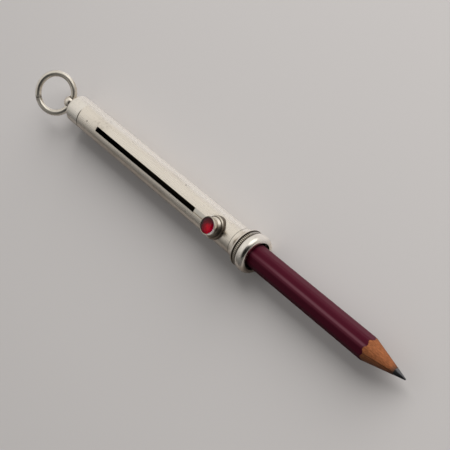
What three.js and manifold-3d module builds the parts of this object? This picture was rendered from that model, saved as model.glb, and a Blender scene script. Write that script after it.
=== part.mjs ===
// A silver chatelaine pencil holder: a slotted barrel with a ring at one end and a mouth at the other.
// Inside it a button runs a carriage along the slot, with a wooden pencil in the carriage's socket.
// Millimetres. Inside the group X runs from the flat of the end cap towards the mouth, Z points out through
// the button, and the barrel's axis is X. The group stands on z = 0, its origin under the middle of its box.
import * as THREE from "three";
import { mergeVertices } from "three/addons/utils/BufferGeometryUtils.js";
import Module from "manifold-3d";

const wasm = await Module();
wasm.setup();

// Barrel
const BARREL_OD = 8.9;
const BARREL_WALL = 0.3;
const HOLDER_LENGTH = 88.3;
const SLOT_WIDTH = 1.5;
const SLOT_START = 16;

// End cap and the spigot that it sits on
const CAP_LENGTH = 6.5;
const CAP_WALL = 0.35;
const CAP_SHOULDER = 1.25;
const SPIGOT_LENGTH = 4.2;
const SPIGOT_WALL = 0.3;

// Finial
const BALL_OD = 4.2;
const BALL_CENTRE = 3.35;
const NECK_OD = 2.5;
const RIVET_OD = 1.5;
const RIVET_HEAD_OD = 2.8;
const RIVET_HEAD = 0.4;
const RING_HOLE = 2.9;
const RING_HOLE_CENTRE = 3.1;

// Suspension ring
const RING_MEAN_OD = 12.4;
const RING_WIRE = 1.95;
const RING_LEAN = 23;
const RING_JOINT_GAP = 0.12;
const RING_JOINT_ANGLE = -45;

// Mouth
const COLLAR_LENGTH = 3;
const COLLAR_LIP = 0.14;
const COLLAR_OD = 11.5;
const COLLAR_LAND = 0.5;
const FILLET_LENGTH = 1.25;
const FILLET_OD = 11.2;
const BEAD_LENGTH = 3;
const BEAD_OD = 11.9;
const BEAD_BACK_OD = 11;
const BEAD_FACE_OD = 9.6;
const BEAD_BACK = 0.9;
const BEAD_LAND = 0.6;
const MOUTH_BORE = 8.34;
const MOUTH_LIP = 1;

// Carriage
const CARRIAGE_WALL = 0.25;
const CARRIAGE_TAIL = 9.7;
const CARRIAGE_LENGTH = 19.9;
const CARRIAGE_SPLIT = 0.4;
const STOP_DISC = 0.4;

// Button
const BUTTON_TO_MOUTH = 14.5;
const STEM_LENGTH = 1.6;
const STEM_WIDTH = 1.4;
const STEM_HEAD_OD = 2;
const STEM_HEAD = 0.3;
const WASHER_OD = 2.7;
const WASHER = 0.22;
const FOOT_OD = 7;
const FOOT_TOP = 0.7;
const FOOT_EDGE = 0.4;
const BODY_HEIGHT = 1.75;
const BODY_BASE_OD = 5.8;
const BODY_WAIST_OD = 4.5;
const BODY_TOP_OD = 5.1;
const BEZEL_OD = 5.4;
const BEZEL_WALL = 0.32;
const BEZEL_HEIGHT = 0.95;
const BEZEL_FLOOR = 0.3;
const STONE_DOME = 0.65;
const STONE_GIRDLE = 0.35;
const FOIL = 0.1;

// Pencil
const PENCIL_FLATS = 6.9;
const PENCIL_SIDES = 8;
const PENCIL_EDGE_RADIUS = 1.8;
const PENCIL_ROLL = 3.5;
const GLUE_PLANE_ANGLE = 67.5;
const LACQUER = 0.12;
const LEAD_OD = 2.1;
const PENCIL_LENGTH = 70.15;
const CONE_HALF_ANGLE = 13.9;
const LEAD_TIP_RADIUS = 0.25;

// Clearances
const SOLDER_GAP = 0.05;
const SEAM_GAP = 0.1;
const RUNNING_GAP = 0.15;
const GLUE_GAP = 0.02;

// How far a cutting shape reaches past what it cuts
const PAST = 1;

// Facets round a circle
const ROUND = 40;
const SMALL_ROUND = 28;
const WIRE_ROUND = 12;
const RING_STEPS = 48;

const rad = THREE.MathUtils.degToRad;

const silver = new THREE.MeshStandardMaterial({ color: 0xcdc7bb, roughness: 0.32, metalness: 1 });
const innerSilver = new THREE.MeshStandardMaterial({ color: 0xa9a59b, roughness: 0.4, metalness: 1 });
const ruby = new THREE.MeshStandardMaterial({ color: 0x8c0818, roughness: 0.08, metalness: 0 });
const foilRed = new THREE.MeshStandardMaterial({ color: 0xb8303c, roughness: 0.25, metalness: 1 });
const maroon = new THREE.MeshStandardMaterial({ color: 0x5a1226, roughness: 0.3, metalness: 0 });
const cedar = new THREE.MeshStandardMaterial({ color: 0xb87540, roughness: 0.7, metalness: 0 });
const graphite = new THREE.MeshStandardMaterial({ color: 0x2b2d30, roughness: 0.45, metalness: 0.3 });

// Radii and places that more than one piece uses
const barrelR = BARREL_OD / 2;
const boreR = barrelR - BARREL_WALL;
const carriageR = boreR - RUNNING_GAP;
const socketR = carriageR - CARRIAGE_WALL;
const beadStart = HOLDER_LENGTH - BEAD_LENGTH;
const filletStart = beadStart - SEAM_GAP - FILLET_LENGTH;
const collarEnd = filletStart - SEAM_GAP;
const buttonPlace = HOLDER_LENGTH - BUTTON_TO_MOUTH;
const carriageStart = buttonPlace - CARRIAGE_TAIL;
const buttonBase = barrelR + RUNNING_GAP;
const footTop = barrelR + FOOT_TOP;
const bodyTop = footTop + BODY_HEIGHT;
const stopDiscFront = buttonPlace + WASHER_OD / 2 + STOP_DISC + RUNNING_GAP;
const pencilStart = stopDiscFront + SOLDER_GAP;
const pencilTip = pencilStart + PENCIL_LENGTH;
const ringR = RING_MEAN_OD / 2;

// Points of an arc about (x, r), from one angle to another in degrees. 0 is along x, 90 away from the axis.
function arc(x, r, radiusX, from, to, steps, radiusR = radiusX) {
  const points = [];
  for (let i = 0; i <= steps; i++) {
    const angle = rad(from + ((to - from) * i) / steps);
    points.push([x + radiusX * Math.cos(angle), r + radiusR * Math.sin(angle)]);
  }
  return points;
}

// A closed solid of manifold-3d from a three.js geometry.
function solid(geometry) {
  const bare = geometry.clone();
  bare.deleteAttribute("normal");
  bare.deleteAttribute("uv");
  const merged = mergeVertices(bare, 1e-4);
  const mesh = new wasm.Mesh({
    numProp: 3,
    vertProperties: merged.attributes.position.array,
    triVerts: new Uint32Array(merged.index.array),
  });
  return new wasm.Manifold(mesh);
}

// The three.js geometry of a solid.
function geometryOf(made) {
  const mesh = made.getMesh();
  const geometry = new THREE.BufferGeometry();
  geometry.setAttribute("position", new THREE.BufferAttribute(mesh.vertProperties, 3));
  geometry.setIndex(new THREE.BufferAttribute(mesh.triVerts, 1));
  geometry.computeVertexNormals();
  return geometry;
}

// The geometry less each of the tools.
function cut(geometry, ...tools) {
  return geometryOf(tools.reduce((left, tool) => left.subtract(solid(tool)), solid(geometry)));
}

// What the geometry shares with each of the tools.
function common(geometry, ...tools) {
  return geometryOf(tools.reduce((left, tool) => left.intersect(solid(tool)), solid(geometry)));
}

// A body turned about Z from the [z, r] points of its closed profile, which run anticlockwise when z is drawn
// to the right and r upwards. The side from the first point to the second is left out if it is on the axis.
function turnedZ(points, round) {
  const outline = [...points.slice(1), points[0]];
  if (points[0][1] > 0) outline.push(points[1]);
  const profile = outline.reverse().map(([z, r]) => new THREE.Vector2(r, z));
  return new THREE.LatheGeometry(profile, round).rotateX(Math.PI / 2);
}

// The same body turned about X, with a flat of its many-sided circle facing straight down.
function turned(points, round = ROUND) {
  return turnedZ(points, round).rotateZ(Math.PI / round).rotateY(Math.PI / 2);
}

// A box from its least and greatest corners.
function block([x0, y0, z0], [x1, y1, z1]) {
  const box = new THREE.BoxGeometry(x1 - x0, y1 - y0, z1 - z0);
  return box.translate((x0 + x1) / 2, (y0 + y1) / 2, (z0 + z1) / 2);
}

function piece(name, geometry, material) {
  const mesh = new THREE.Mesh(geometry, material);
  mesh.name = name;
  return mesh;
}

// Tube with the slot, stepped down at the rear to a spigot for the cap. It ends inside the bead's lip.
function barrelTube() {
  const spigotStart = CAP_LENGTH - SPIGOT_LENGTH;
  const spigotR = barrelR - CAP_WALL - SOLDER_GAP;
  const shoulder = CAP_LENGTH + SEAM_GAP;
  const end = HOLDER_LENGTH - MOUTH_LIP - SOLDER_GAP;
  const tube = turned([
    [spigotStart, spigotR - SPIGOT_WALL],
    [shoulder, spigotR - SPIGOT_WALL],
    [shoulder + SPIGOT_WALL, boreR],
    [end, boreR],
    [end, barrelR],
    [shoulder, barrelR],
    [shoulder, spigotR],
    [spigotStart, spigotR],
  ]);
  const slotEnd = buttonPlace + STEM_LENGTH / 2 + RUNNING_GAP;
  const slot = block([SLOT_START, -SLOT_WIDTH / 2, boreR / 2], [slotEnd, SLOT_WIDTH / 2, barrelR + PAST]);
  return piece("barrel_tube", cut(tube, slot), silver);
}

// Cup over the spigot, flush with the barrel, with a hole in its end for the finial's rivet.
function endCap() {
  const holeR = RIVET_OD / 2 + SOLDER_GAP;
  const insideShoulder = CAP_SHOULDER - CAP_WALL;
  const cup = turned([
    [0, holeR],
    [CAP_WALL, holeR],
    ...arc(CAP_SHOULDER, barrelR - CAP_SHOULDER, insideShoulder, 180, 90, 4),
    [CAP_LENGTH, barrelR - CAP_WALL],
    [CAP_LENGTH, barrelR],
    ...arc(CAP_SHOULDER, barrelR - CAP_SHOULDER, CAP_SHOULDER, 90, 180, 6),
  ]);
  return piece("end_cap", cup, silver);
}

// Drilled ball on its neck; the rivet goes through the cap and is headed inside it.
function finialBall() {
  const ballR = BALL_OD / 2;
  const neckR = NECK_OD / 2;
  const neckAngle = THREE.MathUtils.radToDeg(Math.asin(neckR / ballR));
  const headStart = CAP_WALL + SOLDER_GAP;
  const ball = turned([
    [-BALL_CENTRE - ballR, 0],
    [headStart + RIVET_HEAD, 0],
    [headStart + RIVET_HEAD, RIVET_HEAD_OD / 2],
    [headStart, RIVET_HEAD_OD / 2],
    [headStart, RIVET_OD / 2],
    [-SOLDER_GAP, RIVET_OD / 2],
    [-SOLDER_GAP, neckR],
    ...arc(-BALL_CENTRE, 0, ballR, neckAngle, 180, 14).slice(0, -1),
  ], SMALL_ROUND);
  const hole = new THREE.CylinderGeometry(RING_HOLE / 2, RING_HOLE / 2, BALL_OD + PAST, SMALL_ROUND);
  return piece("finial_ball", cut(ball, hole.translate(-RING_HOLE_CENTRE, 0, 0)), silver);
}

// Round wire bent to a ring, its ends butted. It hangs in the ball's hole and leans towards the button.
// The wire's middle line bows across the straight hole, so half of the bow lies each side of the hole's axis.
function suspensionRing() {
  const bow = ringR - Math.sqrt(ringR ** 2 - (BALL_OD / 2) ** 2);
  const gapAngle = RING_JOINT_GAP / ringR;
  const line = new THREE.Curve();
  line.getPoint = (t) => {
    const angle = rad(RING_JOINT_ANGLE) + gapAngle / 2 + t * (2 * Math.PI - gapAngle);
    return new THREE.Vector3(-ringR * Math.cos(angle), ringR * Math.sin(angle), 0);
  };
  const section = new THREE.Shape().absarc(0, 0, RING_WIRE / 2, 0, 2 * Math.PI);
  const wire = new THREE.ExtrudeGeometry(section, {
    steps: RING_STEPS,
    curveSegments: WIRE_ROUND / 2,
    extrudePath: line,
  });
  const ring = piece("suspension_ring", wire.translate(bow / 2 - ringR, 0, 0), silver);
  const hinge = new THREE.Group();
  hinge.position.x = -RING_HOLE_CENTRE;
  hinge.rotation.y = rad(RING_LEAN);
  return hinge.add(ring);
}

// Cove that flares from the barrel to the mouth's rings.
function mouthCollar() {
  const inside = barrelR + SOLDER_GAP;
  const rear = collarEnd - COLLAR_LENGTH;
  const landStart = collarEnd - COLLAR_LAND;
  const lipR = inside + COLLAR_LIP;
  const flare = arc(rear, COLLAR_OD / 2, landStart - rear, 0, -90, 7, COLLAR_OD / 2 - lipR);
  const collar = turned([
    [rear, inside],
    [collarEnd, inside],
    [collarEnd, COLLAR_OD / 2],
    ...flare,
  ]);
  return piece("mouth_collar", collar, silver);
}

// Narrow band between the collar and the bead.
function mouthFillet() {
  const inside = barrelR + SOLDER_GAP;
  const end = filletStart + FILLET_LENGTH;
  const band = turned([
    [filletStart, inside],
    [end, inside],
    [end, FILLET_OD / 2],
    [filletStart, FILLET_OD / 2],
  ]);
  return piece("mouth_fillet", band, silver);
}

// Heavy ring round the mouth. Its lip closes in front of the barrel's end and leaves the mouth's bore.
function mouthBead() {
  const inside = barrelR + SOLDER_GAP;
  const lipStart = HOLDER_LENGTH - MOUTH_LIP;
  const landStart = beadStart + BEAD_BACK;
  const landEnd = landStart + BEAD_LAND;
  const backR = BEAD_BACK_OD / 2;
  const faceR = BEAD_FACE_OD / 2;
  const crestR = BEAD_OD / 2;
  const bead = turned([
    [beadStart, inside],
    [lipStart, inside],
    [lipStart, MOUTH_BORE / 2],
    [HOLDER_LENGTH, MOUTH_BORE / 2],
    ...arc(landEnd, faceR, HOLDER_LENGTH - landEnd, 0, 90, 6, crestR - faceR),
    ...arc(landStart, backR, BEAD_BACK, 90, 180, 3, crestR - backR),
  ]);
  return piece("mouth_bead", bead, silver);
}

// Sprung socket tube, split along its underside, with a hole for the button's stem.
function carriageTube() {
  const end = carriageStart + CARRIAGE_LENGTH;
  const tube = turned([
    [carriageStart, socketR],
    [end, socketR],
    [end, carriageR],
    [carriageStart, carriageR],
  ]);
  const half = CARRIAGE_SPLIT / 2;
  const split = block([carriageStart - PAST, -half, -carriageR - PAST], [end + PAST, half, -socketR / 2]);
  const stemHole = stemBlock(socketR / 2, carriageR + PAST, SOLDER_GAP);
  return piece("carriage_tube", cut(tube, split, stemHole), innerSilver);
}

// The stem's square section from one height to another, grown all round by a gap.
function stemBlock(low, high, gap) {
  const x = STEM_LENGTH / 2 + gap;
  const y = STEM_WIDTH / 2 + gap;
  return block([buttonPlace - x, -y, low], [buttonPlace + x, y, high]);
}

// Plate across the carriage that stops the pencil's rear end.
function stopDisc() {
  const r = socketR - SOLDER_GAP;
  const rear = stopDiscFront - STOP_DISC;
  const disc = turned([
    [rear, 0],
    [stopDiscFront, 0],
    [stopDiscFront, r],
    [rear, r],
  ]);
  return piece("stop_disc", disc, innerSilver);
}

// Height at which a flat washer of this diameter meets the carriage's round inside.
function seatUnderTube(diameter) {
  return Math.sqrt((socketR * Math.cos(Math.PI / ROUND) - SOLDER_GAP) ** 2 - (diameter / 2) ** 2);
}

// A body turned about the button's axis from [z, r] points.
function buttonTurned(points, round = SMALL_ROUND) {
  return turnedZ(points, round).translate(buttonPlace, 0, 0);
}

// Washer against the carriage's inside, with a square hole for the stem.
function stemWasher() {
  const top = seatUnderTube(WASHER_OD);
  const r = WASHER_OD / 2;
  const washer = buttonTurned([[top - WASHER, 0], [top, 0], [top, r], [top - WASHER, r]]);
  return piece("stem_washer", cut(washer, stemBlock(0, barrelR, SOLDER_GAP)), innerSilver);
}

// Square post through the slot, riveted over a washer at the bottom, soldered into the foot at the top.
function sliderStem() {
  const headTop = seatUnderTube(WASHER_OD) - WASHER - SOLDER_GAP;
  const r = STEM_HEAD_OD / 2;
  const head = buttonTurned([[headTop - STEM_HEAD, 0], [headTop, 0], [headTop, r], [headTop - STEM_HEAD, r]]);
  const post = stemBlock(headTop - STEM_HEAD / 2, footTop - SOLDER_GAP, 0);
  return piece("slider_stem", geometryOf(solid(head).add(solid(post))), innerSilver);
}

// Base of the button, hollowed to ride on the barrel, with a square hole for the stem.
function buttonFoot() {
  const r = FOOT_OD / 2;
  const low = Math.sqrt(buttonBase ** 2 - r ** 2);
  const foot = buttonTurned([
    [low, 0],
    [footTop, 0],
    [footTop, r - FOOT_EDGE],
    ...arc(footTop - FOOT_EDGE, r - FOOT_EDGE, FOOT_EDGE, 0, 90, 3).slice(1),
    [low, r],
  ]);
  const saddle = turned([
    [buttonPlace - FOOT_OD, 0],
    [buttonPlace + FOOT_OD, 0],
    [buttonPlace + FOOT_OD, buttonBase],
    [buttonPlace - FOOT_OD, buttonBase],
  ]);
  return piece("button_foot", cut(foot, saddle, stemBlock(0, footTop + PAST, SOLDER_GAP)), silver);
}

// Waisted body between the foot and the setting.
function buttonBody() {
  const low = footTop + SOLDER_GAP;
  const waist = BODY_WAIST_OD / 2;
  const side = [];
  for (let i = 0; i <= 8; i++) {
    const t = i / 8;
    const ends = THREE.MathUtils.lerp(BODY_TOP_OD / 2, BODY_BASE_OD / 2, t);
    side.push([bodyTop + (low - bodyTop) * t, waist + (ends - waist) * (2 * t - 1) ** 2]);
  }
  return piece("button_body", buttonTurned([[low, 0], [bodyTop, 0], ...side]), silver);
}

// Cup that holds the stone, its rim burnished over the girdle.
function stoneBezel() {
  const low = bodyTop + SOLDER_GAP;
  const outer = BEZEL_OD / 2;
  const inner = outer - BEZEL_WALL;
  const top = low + BEZEL_HEIGHT;
  const bezel = buttonTurned([
    [low, 0],
    [low + BEZEL_FLOOR, 0],
    [low + BEZEL_FLOOR, inner],
    [top, inner],
    [top, outer - BEZEL_WALL / 2],
    [top - BEZEL_WALL, outer],
    [low, outer],
  ]);
  return piece("stone_bezel", bezel, silver);
}

// Thin disc of foil under the stone.
function stoneFoil() {
  const low = bodyTop + SOLDER_GAP + BEZEL_FLOOR + GLUE_GAP;
  const r = BEZEL_OD / 2 - BEZEL_WALL - SOLDER_GAP;
  return piece("stone_foil", buttonTurned([[low, 0], [low + FOIL, 0], [low + FOIL, r], [low, r]]), foilRed);
}

// Domed stone with a short upright girdle.
function stone() {
  const low = bodyTop + SOLDER_GAP + BEZEL_FLOOR + FOIL + 2 * GLUE_GAP;
  const r = BEZEL_OD / 2 - BEZEL_WALL - SOLDER_GAP;
  const girdle = low + STONE_GIRDLE;
  const dome = buttonTurned([
    [low, 0],
    ...arc(girdle, 0, STONE_DOME, 0, 90, 6, r),
    [low, r],
  ]);
  return piece("stone", dome, ruby);
}

// Bar along X with flat sides and eased edges, its section this far across the flats.
function pencilBar(flats, edge, from, to) {
  const step = 360 / PENCIL_SIDES;
  const centre = (flats / 2 - edge) / Math.cos(rad(step / 2));
  const outline = [];
  for (let i = 0; i < PENCIL_SIDES; i++) {
    const at = step * i;
    const [x, y] = [centre * Math.cos(rad(at)), centre * Math.sin(rad(at))];
    outline.push(...arc(x, y, edge, at - step / 2, at + step / 2, 3));
  }
  const shape = new THREE.Shape(outline.map(([x, y]) => new THREE.Vector2(x, y)));
  const bar = new THREE.ExtrudeGeometry(shape, { depth: to - from, bevelEnabled: false });
  return bar.rotateY(Math.PI / 2).translate(from, 0, 0);
}

// All that lies inside the sharpened point.
function sharpening() {
  const apex = pencilTip + LEAD_TIP_RADIUS * (1 / Math.sin(rad(CONE_HALF_ANGLE)) - 1);
  const wide = PENCIL_FLATS;
  const rear = pencilStart - PAST;
  return turned([
    [rear, 0],
    ...arc(pencilTip - LEAD_TIP_RADIUS, 0, LEAD_TIP_RADIUS, 0, 90 - CONE_HALF_ANGLE, 4),
    [apex - wide / Math.tan(rad(CONE_HALF_ANGLE)), wide],
    [rear, wide],
  ]);
}

// Cylinder on the pencil's axis, as long as the pencil and so much more at each end.
function leadBar(diameter, more) {
  const r = diameter / 2;
  const start = pencilStart - more;
  const end = pencilTip + more;
  return turned([[start, 0], [end, 0], [end, r], [start, r]], SMALL_ROUND);
}

// One glued half of the wooden case, on side 1 or -1 of the glue plane. The plane goes through the middles
// of two of the flats.
function slat(wood, side) {
  const [near, far] = [side * GLUE_GAP / 2, side * PENCIL_FLATS];
  const low = [pencilStart - PAST, -PENCIL_FLATS, Math.min(near, far)];
  const high = [pencilTip + PAST, PENCIL_FLATS, Math.max(near, far)];
  return common(wood, block(low, high).rotateX(-rad(GLUE_PLANE_ANGLE)));
}

// Eight-sided wooden pencil, sharpened, with a coat of lacquer on its flats. It stands rolled in the socket.
function pencil() {
  const under = LACQUER + GLUE_GAP;
  const bar = pencilBar(PENCIL_FLATS - 2 * under, PENCIL_EDGE_RADIUS - under, pencilStart, pencilTip);
  const wood = cut(common(bar, sharpening()), leadBar(LEAD_OD + 2 * GLUE_GAP, PAST));
  const outside = pencilBar(PENCIL_FLATS, PENCIL_EDGE_RADIUS, pencilStart, pencilTip);
  const bare = [PENCIL_FLATS - 2 * LACQUER, PENCIL_EDGE_RADIUS - LACQUER];
  const inside = pencilBar(...bare, pencilStart - PAST, pencilTip + PAST);
  const group = new THREE.Group();
  group.rotation.x = -rad(PENCIL_ROLL);
  return group.add(
    piece("slat_left", slat(wood, 1), cedar),
    piece("slat_right", slat(wood, -1), cedar),
    piece("pencil_lead", common(leadBar(LEAD_OD, 0), sharpening()), graphite),
    piece("pencil_lacquer", cut(common(outside, sharpening()), inside), maroon),
  );
}

const holder = new THREE.Group();
holder.add(
  barrelTube(),
  endCap(),
  finialBall(),
  suspensionRing(),
  mouthCollar(),
  mouthFillet(),
  mouthBead(),
  carriageTube(),
  stopDisc(),
  stemWasher(),
  sliderStem(),
  buttonFoot(),
  buttonBody(),
  stoneBezel(),
  stoneFoil(),
  stone(),
  pencil(),
);

const box = new THREE.Box3().setFromObject(holder, true);
holder.position.set(-(box.min.x + box.max.x) / 2, 0, -box.min.z);

export default new THREE.Group().add(holder);
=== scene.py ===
"""A silver chatelaine pencil holder with its pencil, dressed for a picture on a pale table."""

from math import asin, atan2, cos, degrees, pi, radians, sin, sqrt, tan

import bpy
from mathutils import Matrix, Vector


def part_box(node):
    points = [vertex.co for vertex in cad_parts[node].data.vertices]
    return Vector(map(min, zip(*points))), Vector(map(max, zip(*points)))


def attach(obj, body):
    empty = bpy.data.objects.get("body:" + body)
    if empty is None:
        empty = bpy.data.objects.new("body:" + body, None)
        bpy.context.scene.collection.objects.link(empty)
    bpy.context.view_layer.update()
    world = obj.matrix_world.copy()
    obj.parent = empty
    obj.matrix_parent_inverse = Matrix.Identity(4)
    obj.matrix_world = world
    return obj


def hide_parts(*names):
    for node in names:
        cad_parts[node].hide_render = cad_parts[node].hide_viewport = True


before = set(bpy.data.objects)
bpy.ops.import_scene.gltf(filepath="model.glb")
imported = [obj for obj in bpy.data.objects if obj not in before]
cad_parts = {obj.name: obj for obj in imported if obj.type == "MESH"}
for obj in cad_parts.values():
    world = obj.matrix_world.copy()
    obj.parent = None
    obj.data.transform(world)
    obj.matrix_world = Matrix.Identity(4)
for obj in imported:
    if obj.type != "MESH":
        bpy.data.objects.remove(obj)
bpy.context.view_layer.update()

# The photographer's camera. It looks down along the holder from beyond the pencil's point, turned
# about its own line of sight until the pencil points to the lower right. Its place is in metres.
CAMERA_PLACE = Vector((0.220017, 0.08167, 0.293842))
CAMERA_RIGHT = Vector((0.6293, 0.4924, -0.6012))
CAMERA_UP = Vector((-0.5189, 0.8422, 0.1467))
CAMERA_LENS = 104.04
CAMERA_SENSOR = 36
CAMERA_NEAREST = 0.01
CAMERA_FARTHEST = 10

camera = bpy.data.objects.new("camera", bpy.data.cameras.new("camera"))
bpy.context.scene.collection.objects.link(camera)
camera_back = CAMERA_RIGHT.cross(CAMERA_UP).normalized()
camera_up = camera_back.cross(CAMERA_RIGHT).normalized()
camera_turn = Matrix((camera_up.cross(camera_back), camera_up, camera_back)).transposed()
camera.matrix_world = Matrix.Translation(CAMERA_PLACE) @ camera_turn.to_4x4()
camera.data.lens = CAMERA_LENS
camera.data.sensor_width = CAMERA_SENSOR
camera.data.clip_start = CAMERA_NEAREST
camera.data.clip_end = CAMERA_FARTHEST
bpy.context.scene.camera = camera
bpy.context.scene.view_settings.view_transform = "Standard"

# The light of a room with a large window. The sky brightens softly towards the window's side, with
# a soft bright patch for the window and a dark one for the unlit part of the room, which the metal
# mirrors. One wide lamp on the same side gives the shadows.
SKY_BRIGHT_SIDE = (-0.50, 0.66, 0.56)
SKY_DARK = 0.15
SKY_BRIGHT = 0.76
SKY_FROM = -0.22
SKY_TO = 0.95
ROOM_SIDE = (0.53, -0.03, 0.847)
ROOM_WIDE = cos(radians(45))
ROOM_NARROW = cos(radians(34))
ROOM_LEFT = 0.03
WINDOW_SIDE = (0.18, 0.86, 0.47)
WINDOW_WIDE = cos(radians(38))
WINDOW_NARROW = cos(radians(16))
WINDOW_GLOW = 0.66
WHITE = (1, 1, 1, 1)
LAMP_PLACE = Vector((0.05, 0.66, 0.44))
LAMP_SIZE = 0.7
LAMP_POWER = 6.4


class Strand:
    """One output of a node. Arithmetic on it adds Math nodes."""

    def __init__(self, finish, socket):
        self.finish = finish
        self.socket = socket

    def maths(self, operation, *others):
        inputs = dict(enumerate((self, *others)))
        return self.finish.node("Math", {"operation": operation}, inputs)["Value"]

    def __add__(self, other):
        return self.maths("ADD", other)

    __radd__ = __add__

    def __sub__(self, other):
        return self.maths("SUBTRACT", other)

    def __rsub__(self, other):
        return self.finish.node("Math", {"operation": "SUBTRACT"}, {0: other, 1: self})["Value"]

    def __mul__(self, other):
        return self.maths("MULTIPLY", other)

    __rmul__ = __mul__


class Finish:
    """A material or a world. Its one method adds a node with its settings, then fills its sockets
    and gives back its outputs by name."""

    def __init__(self, data):
        self.data = data
        data.use_nodes = True
        data.node_tree.nodes.clear()

    def node(self, kind, settings=None, sockets=None):
        made = self.data.node_tree.nodes.new("ShaderNode" + kind)
        for name, value in (settings or {}).items():
            setattr(made, name, value)
        for name, value in (sockets or {}).items():
            if isinstance(name, str):
                name = next(i for i, s in enumerate(made.inputs) if name in (s.identifier, s.name))
            if isinstance(value, Strand):
                self.data.node_tree.links.new(value.socket, made.inputs[name])
            else:
                made.inputs[name].default_value = value
        outputs = {s.name: Strand(self, s) for s in reversed(made.outputs)}
        return {**outputs, **{s.identifier: Strand(self, s) for s in made.outputs}}


world = bpy.data.worlds.new("room")
bpy.context.scene.world = world
sky = Finish(world)
sky_way = sky.node("TexCoord")["Generated"]


def towards(side, low, high, at_low, at_high):
    """A soft change of brightness as the sky turns towards one side."""
    near = sky.node("VectorMath", {"operation": "DOT_PRODUCT"}, {0: sky_way, 1: side})["Value"]
    sockets = {"Value": near, "From Min": low, "From Max": high}
    sockets.update({"To Min": at_low, "To Max": at_high})
    return sky.node("MapRange", {"interpolation_type": "SMOOTHSTEP"}, sockets)["Result"]


daylight = towards(SKY_BRIGHT_SIDE, SKY_FROM, SKY_TO, SKY_DARK, SKY_BRIGHT)
unlit = towards(ROOM_SIDE, ROOM_WIDE, ROOM_NARROW, 1, ROOM_LEFT)
window = towards(WINDOW_SIDE, WINDOW_WIDE, WINDOW_NARROW, 0, WINDOW_GLOW)
glow = sky.node("Background", {}, {"Color": WHITE, "Strength": daylight * unlit + window})
sky.node("OutputWorld", {}, {"Surface": glow["Background"]})

lamp = bpy.data.objects.new("window_lamp", bpy.data.lights.new("window_lamp", "AREA"))
lamp.data.size = LAMP_SIZE
lamp.data.energy = LAMP_POWER
lamp.location = LAMP_PLACE
lamp.rotation_mode = "QUATERNION"
lamp.rotation_quaternion = LAMP_PLACE.to_track_quat("Z", "Y")
lamp.visible_glossy = False
bpy.context.scene.collection.objects.link(lamp)

# The table: a plain sheet of pale matt paper, wide enough to fill every view.
# It isn't part of the object.
TABLE_SIZE = 6
TABLE_COLOUR = (0.590, 0.562, 0.545, 1)
TABLE_DEPTH = -0.00002

bpy.ops.object.select_all(action="DESELECT")
bpy.ops.mesh.primitive_plane_add(size=TABLE_SIZE, location=(0, 0, TABLE_DEPTH))
table = bpy.context.object
table.name = "table"
bpy.ops.object.transform_apply(location=True)
paper = Finish(bpy.data.materials.new("paper"))
matt = paper.node("BsdfDiffuse", {}, {"Color": TABLE_COLOUR})["BSDF"]
paper.node("OutputMaterial", {}, {"Surface": matt})
table.data.materials.append(paper.data)

# The barrel: a long tube of sheet silver, polished to a satin by years of handling. A slot is sawn
# along its top, and its rear end is drawn in to a spigot for the cap. The bore is black with
# tarnish, and two small dents have filled with dirt.
# Like every silver piece here, its side towards the window has a painted highlight and its far side
# painted shade.
MM = 0.001
BARREL_RADIUS = 4.45 * MM
BARREL_WALL = 0.3 * MM
BARREL_STEPS = 144
SPIGOT_RADIUS = 4.05 * MM
SPIGOT_LENGTH = 4.3 * MM
SLOT_HALF_WIDTH = 0.75 * MM
SLOT_REAR = -49.293 * MM
SLOT_FRONT = 9.457 * MM
SEAM_GAP = 0.015 * MM
SEAM_WIDTH = 0.3
SEAM_WAY = radians(-22)
SEAM_SPREAD = radians(38)
BARREL_DENTS = [
    (Vector((-54.213, -0.01, 10.38)) * MM, 0.42 * MM),
    (Vector((-9.433, 3.67, 8.452)) * MM, 0.38 * MM),
]
BARREL_LAY = (14, 1, 1)
WELD = 0.001 * MM
EDGE_EASE = 0.05 * MM
FLUSH_EASE = 0.015 * MM
EASED_ANGLE = radians(50)
SMOOTH_ANGLE = radians(35)
SILVER = (0.90, 0.828, 0.725)
SILVER_WARM = (0.86, 0.76, 0.62)
# The lightest silver colour is a painted highlight for the side towards the window; the darkest is
# painted shade for the far side, also used for faint dark streaks.
SILVER_PAINTED_HIGHLIGHT = (0.97, 0.925, 0.86)
SILVER_SHADE_AND_STREAK = (0.20, 0.155, 0.115)
# Tarnish, also used for a painted shadow at the edge of the button's foot.
TARNISH_AND_SHADE = (0.10, 0.078, 0.055)
SATIN = 0.2
# These angles give the sides, round the axis, of the painted shade and the painted highlight.
SHADED_SIDE = radians(-100)
LIT_SIDE = radians(82)
EVEN = (1, 1, 1)
CLOUD_SIZE = 9
SPECK_SIZE = 0.9
MARK_SIZE = 0.16
SCRATCH_SIZE = 0.5
STREAK_SIZE = 0.35
HAIRLINE = 0.012
STAIN_FROM = 0.52
STAIN_TO = 0.72
LIT_FROM = 0.79
LIT_TO = 0.99
SHADE_FROM = 0.1
SHADE_TO = 0.8
DENT_RELIEF = 6
RELIEF_STRENGTH = 0.34
RELIEF_DEPTH = 0.012

bead_low, bead_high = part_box("mouth_bead")
AXIS = Vector((0, 0, (bead_low.z + bead_high.z) / 2))
foot_low, foot_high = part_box("button_foot")
BUTTON = Vector(((foot_low.x + foot_high.x) / 2, 0, 0))


def select_only(piece):
    bpy.ops.object.select_all(action="DESELECT")
    bpy.context.view_layer.objects.active = piece
    piece.select_set(True)


def start_edit(piece):
    select_only(piece)
    bpy.ops.object.mode_set(mode="EDIT")
    bpy.ops.mesh.select_mode(type="VERT")
    bpy.ops.mesh.select_all(action="DESELECT")


def end_edit():
    """Welds the shape, turns its faces outwards and leaves edit mode."""
    bpy.ops.mesh.select_all(action="SELECT")
    bpy.ops.mesh.remove_doubles(threshold=WELD)
    bpy.ops.mesh.normals_make_consistent(inside=False)
    bpy.ops.object.mode_set(mode="OBJECT")


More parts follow.
